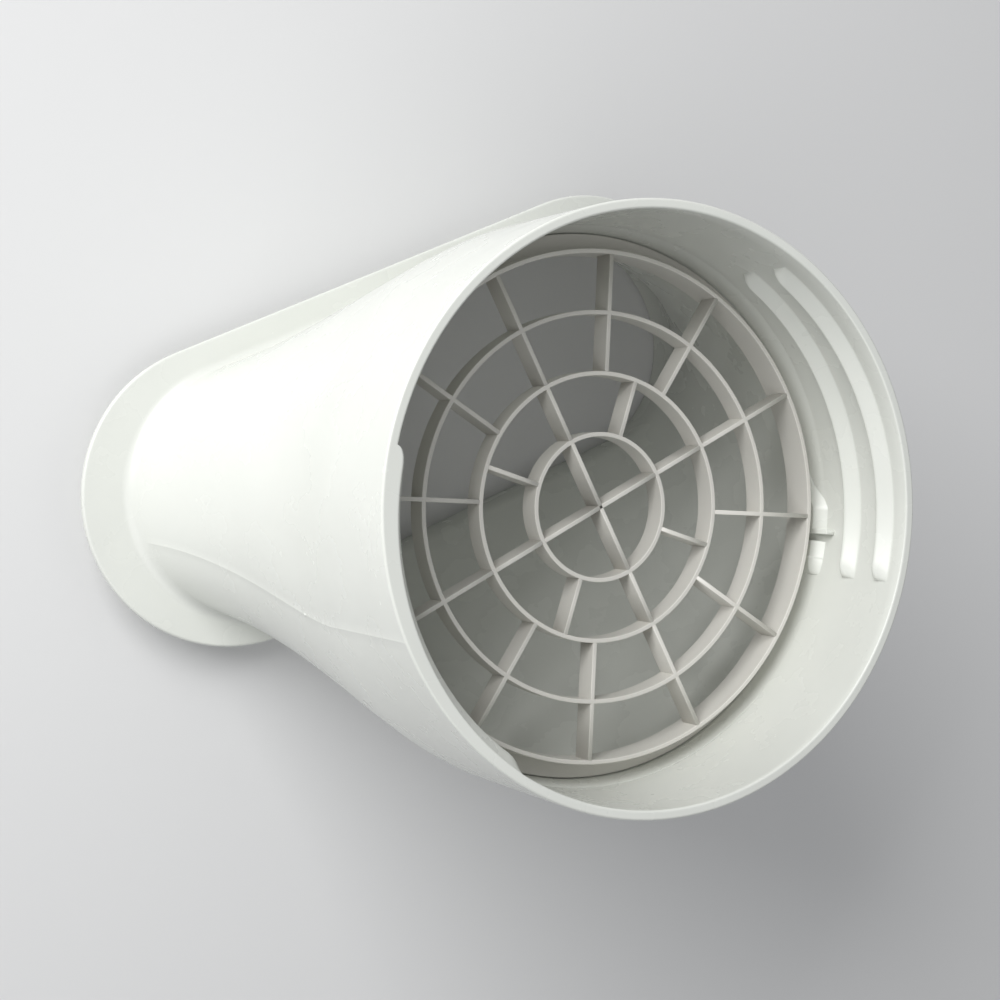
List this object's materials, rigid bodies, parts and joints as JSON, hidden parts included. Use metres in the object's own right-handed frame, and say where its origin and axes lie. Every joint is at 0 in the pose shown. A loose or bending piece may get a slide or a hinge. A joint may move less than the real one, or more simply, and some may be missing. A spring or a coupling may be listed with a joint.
{
  "type": "exhaust hose window nozzle",
  "caption": "Moulded adapter from a round screw-in hose socket to a long oval flanged outlet for a window vent panel, with a snap-in guard grille.",
  "frame": {"origin": "on the hose socket's axis, level with the end of the outlet's locating spigot, which is the middle of the underside of the bounding box", "axes": "+Z along the hose socket's axis, out of its mouth; X along the long flange; the outlet lies towards -Y of the socket"},
  "size_m": [0.2206, 0.156, 0.1344],
  "materials": {
    "body_plastic": "semi-gloss moulded off-white with a faint cool tint",
    "grille_plastic": "semi-gloss moulded off-white, a little warmer and greyer than the body"
  },
  "bodies": {
    "root": {"nozzle_body": "body_plastic", "guard_grille": "grille_plastic"}
  },
  "joints": []
}
